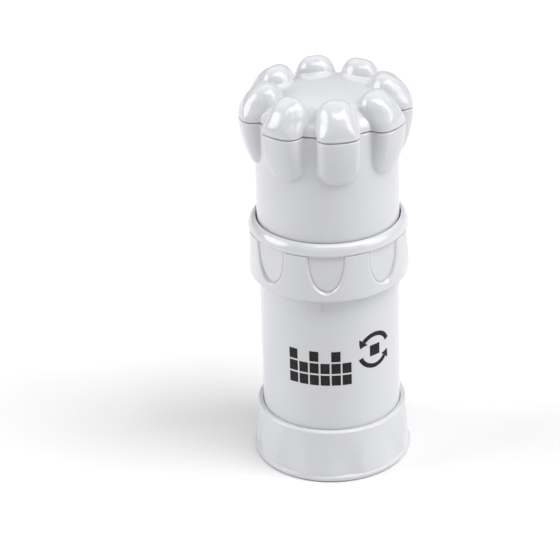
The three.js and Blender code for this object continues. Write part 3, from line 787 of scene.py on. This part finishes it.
def level_ring(z, inset=0.0):
    """The knob's outline at one height, drawn in by an inset."""
    ring = full_ring(resampled(skin(UP * z, ACROSS), HALF_COLUMNS))
    radius = np.linalg.norm(ring[:, :2], axis=1, keepdims=True)
    ring[:, :2] *= (radius - inset) / radius
    return ring


def plain_ring(r, z):
    """A circle with as many points as the knob's outline."""
    return on_bearing(r, EVEN, z)


def make_barrel():
    """Rows go down inside from the web, up the outside over the lower cloves, and back in."""
    rows = [plain_ring(r, z) for r, z in fillet([
        (3.2, KNOB_WEB[1], 0), (3.2, KNOB_WEB[0], 0), (BARREL_BORE_R, KNOB_WEB[0], 0.5),
        (BARREL_BORE_R, BARREL_BOTTOM, 0.5), (BARREL_R, BARREL_BOTTOM, 0.8),
        (BARREL_R, 124, 0), (BARREL_R, 131, 0),
    ])]
    edge_bottom = BARREL_TOP - BARREL_EDGE
    heights = np.concatenate([np.linspace(132.4, 136, 16), np.linspace(136.3, edge_bottom, 44)])
    rows += [level_ring(z) for z in heights]
    for angle in np.radians([0, 22.5, 45, 67.5, 90]):
        rise, inset = BARREL_EDGE * math.sin(angle), BARREL_EDGE * (1 - math.cos(angle))
        rows.append(level_ring(edge_bottom + rise, inset))
    rows += [plain_ring(BARREL_BORE_R, BARREL_TOP), plain_ring(BARREL_BORE_R, KNOB_WEB[1])]
    shell = mesh_object("knob_barrel_shell", np.concatenate(rows), ring_faces(len(rows), COLUMN_COUNT))
    dress(finish_mesh(shell), "knob", "white_plastic", WHITE, "knob_barrel")


def make_crown():
    """Rows go up inside, over the edge, up the cloves by rays from a low centre, and over the dome."""
    centre = 120.0
    shoulder_r = 26.5
    ceiling_z = 161
    collar_bottom, inner_r, outer_r = KNOB_WEB[1] + 0.4, 23.6, 25.9
    rows = [plain_ring(r, z) for r, z in [
        (6, 160.8), (12, 160), (20, 157), (inner_r, 154), (inner_r, collar_bottom),
        (outer_r, collar_bottom), (outer_r, CROWN_BOTTOM),
    ]]
    for angle in np.radians([0, 30, 60, 90]):
        rise, inset = CROWN_EDGE * (1 - math.cos(angle)), CROWN_EDGE * (1 - math.sin(angle))
        rows.append(level_ring(CROWN_BOTTOM + rise, inset))
    seam = skin(UP * (CROWN_BOTTOM + CROWN_EDGE), ACROSS)
    shoulder = skin(shoulder_r * ACROSS + UP * centre, UP)
    low, high = [np.arctan2(p[:, 2] - centre, np.hypot(p[:, 0], p[:, 1])) for p in (seam, shoulder)]
    for part in np.concatenate([np.linspace(0.02, 0.3, 14), np.linspace(0.32, 1, 36)]):
        rise = (low + (high - low) * part)[:, None]
        outer = skin(UP * centre, np.cos(rise) * ACROSS + np.sin(rise) * UP)
        rows.append(full_ring(resampled(outer, HALF_COLUMNS)))
    for r in np.concatenate([np.linspace(shoulder_r - 0.25, 15, 46), [14, 12, 9, 6, 3]]):
        rows.append(full_ring(resampled(skin(r * ACROSS + UP * centre, UP), HALF_COLUMNS)))
    work = Patchwork()
    indexed = [work.row(row) for row in rows]
    work.strips(indexed, closed=True)
    work.fan(work.row([0, 0, SEAM_Z + DOME_RISE])[0], indexed[-1], closed=True)
    work.fan(work.row([0, 0, ceiling_z])[0], indexed[0], closed=True)
    dress(finish_mesh(work.object("crown_shell"), 0.004), "knob", "white_plastic", WHITE, "crown_cap")


make_base()
make_tube()
make_print()
make_collar()
make_barrel()
make_crown()


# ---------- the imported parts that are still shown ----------
def smooth_shading():
    """A modifier tree that shades nearly level faces smooth and keeps real corners sharp."""
    corner = math.radians(28)
    tree = bpy.data.node_groups.new("smooth_shading", "GeometryNodeTree")
    tree.interface.new_socket("Geometry", in_out="INPUT", socket_type="NodeSocketGeometry")
    tree.interface.new_socket("Geometry", in_out="OUTPUT", socket_type="NodeSocketGeometry")
    start, end = tree.nodes.new("NodeGroupInput"), tree.nodes.new("NodeGroupOutput")
    faces = tree.nodes.new("GeometryNodeSetShadeSmooth")
    edges = tree.nodes.new("GeometryNodeSetShadeSmooth")
    angle = tree.nodes.new("GeometryNodeInputMeshEdgeAngle")
    compare = tree.nodes.new("FunctionNodeCompare")
    faces.domain, edges.domain = "FACE", "EDGE"
    # The normals that came with the mesh would override the shading
    own_normals = tree.nodes.new("GeometryNodeRemoveAttribute")
    own_normals.inputs["Name"].default_value = "custom_normal"
    compare.data_type, compare.operation = "FLOAT", "GREATER_THAN"
    compare.inputs["B"].default_value = corner
    edges.inputs["Shade Smooth"].default_value = False
    tree.links.new(start.outputs[0], own_normals.inputs["Geometry"])
    tree.links.new(own_normals.outputs[0], faces.inputs["Geometry"])
    tree.links.new(faces.outputs[0], edges.inputs["Geometry"])
    tree.links.new(angle.outputs["Unsigned Angle"], compare.inputs["A"])
    tree.links.new(compare.outputs["Result"], edges.inputs["Selection"])
    tree.links.new(edges.outputs[0], end.inputs[0])
    return tree


SMOOTH = smooth_shading()
EDGE_WIDTH = {
    "white_plastic": 0.3, "inner_plastic": 0.3, "frosted_plastic": 0.3, "silicone": 0.3,
    "screw_steel": 0.15, "blade_steel": 0.05,
}
STEEL_OF = {"long_blade": STEEL_Y, "cross_blade": STEEL_X}
MATERIAL_OF = {
    "white_plastic": WHITE, "inner_plastic": INNER, "frosted_plastic": FROSTED,
    "screw_steel": SCREW_STEEL, "silicone": SILICONE,
}


def soften(node, slot):
    """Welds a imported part's loose triangles, rounds its edges and shades it smooth."""
    node.modifiers.new("weld", "WELD").merge_threshold = 0.003 * MM
    bevel = node.modifiers.new("edges", "BEVEL")
    bevel.width = EDGE_WIDTH[slot] * MM
    bevel.segments = 2
    bevel.limit_method = "ANGLE"
    bevel.angle_limit = math.radians(40)
    bevel.use_clamp_overlap = True
    shading = node.modifiers.new("shading", "NODES")
    shading.node_group = SMOOTH
    node.modifiers.new("weighted", "WEIGHTED_NORMAL").keep_sharp = True


SLOT_OF = {part["node"]: part["material_slot"] for part in frame["record"]["subparts"]}
for name, node in frame["nodes"].items():
    family = name.rsplit("_", 1)[0]
    slot = SLOT_OF[name]
    node.data.materials.clear()
    node.data.materials.append(STEEL_OF.get(family) or MATERIAL_OF[slot])
    if name not in REPLACED:
        soften(node, slot)


# ---------- camera, floor and light ----------
def make_camera():
    """Looks down at the front, a little from the right, from far away."""
    azimuth, elevation = math.radians(2.1), math.radians(26.81)
    distance, look_height = 0.8775, 0.095
    yaw, pitch, roll = math.radians(-1.489), math.radians(27.765), math.radians(-1.893)
    place = Vector((0, -math.cos(elevation) * distance, look_height + math.sin(elevation) * distance))
    forward = Vector((math.sin(yaw) * math.cos(pitch), math.cos(yaw) * math.cos(pitch), -math.sin(pitch)))
    level = Vector((math.cos(yaw), -math.sin(yaw), 0))
    upward = level.cross(forward)
    right = level * math.cos(roll) + upward * math.sin(roll)
    up = upward * math.cos(roll) - level * math.sin(roll)
    axes = Matrix((right, up, -forward)).transposed().to_4x4()
    data = bpy.data.cameras.new("camera")
    data.sensor_width = 36.0
    data.lens = 138.2
    camera = bpy.data.objects.new("camera", data)
    camera.matrix_world = Matrix.Rotation(azimuth, 4, "Z") @ Matrix.Translation(place) @ axes
    bpy.context.scene.collection.objects.link(camera)
    bpy.context.scene.camera = camera


# Name, then bearing, height above the floor and spread in degrees, then strength
LIGHTS = [
    ("right_softbox", 78, 30, 38, 1.15),
    ("left_softbox", -84, 26, 40, 1.9),
    ("key_softbox", 36, 66, 22, 0.62),
    ("front_right_softbox", 38, 40, 18, 0.12),
    ("high_right_softbox", 76, 57, 34, 1.25),
    ("high_left_softbox", -16, 70, 22, 0.38),
    ("back_right_softbox", 140, 50, 50, 0.5),
    ("back_left_softbox", -140, 50, 50, 0.5),
]
SKY = 0.03
FLOOR_HALF = 6000


def soft_light(name, bearing, height, spread, strength):
    """A broad light from far away, so that the whole floor is lit alike."""
    turn, rise = math.radians(bearing), math.radians(height)
    way = Vector((math.sin(turn) * math.cos(rise), -math.cos(turn) * math.cos(rise), math.sin(rise)))
    data = bpy.data.lights.new(name, "SUN")
    data.angle = math.radians(spread)
    data.energy = strength
    light = bpy.data.objects.new(name, data)
    light.rotation_euler = (-way).to_track_quat("-Z", "Y").to_euler()
    bpy.context.scene.collection.objects.link(light)


def make_world():
    """A faint sky as light, which the camera sees as plain white paper past the floor's edge."""
    world = bpy.data.worlds.new("studio")
    world.use_nodes = True
    nodes, links = world.node_tree.nodes, world.node_tree.links
    sky, paper = nodes["Background"], nodes.new("ShaderNodeBackground")
    sky.inputs["Color"].default_value = (0.93, 0.95, 1.0, 1)
    sky.inputs["Strength"].default_value = SKY
    paper.inputs["Color"].default_value = (1, 1, 1, 1)
    seen, mix = nodes.new("ShaderNodeLightPath"), nodes.new("ShaderNodeMixShader")
    links.new(seen.outputs["Is Camera Ray"], mix.inputs[0])
    links.new(sky.outputs[0], mix.inputs[1])
    links.new(paper.outputs[0], mix.inputs[2])
    links.new(mix.outputs[0], nodes["World Output"].inputs["Surface"])
    return world


def make_stage():
    """A plain pale floor of matt paper, the world and the lights."""
    shader = Shader("floor_paper", Roughness=0.9)
    shader.tones(shader.noise(3, 2), grey(0.79), grey(0.81))
    corners = [(x * FLOOR_HALF, y * FLOOR_HALF, 0) for x, y in ((-1, -1), (1, -1), (1, 1), (-1, 1))]
    floor = mesh_object("floor", corners, [(0, 1, 2, 3)])
    floor.data.materials.append(shader.material)
    bpy.context.scene.world = make_world()
    bpy.context.scene.view_settings.view_transform = "Standard"
    for light in LIGHTS:
        soft_light(*light)


make_camera()
make_stage()

bpy.context.view_layer.update()
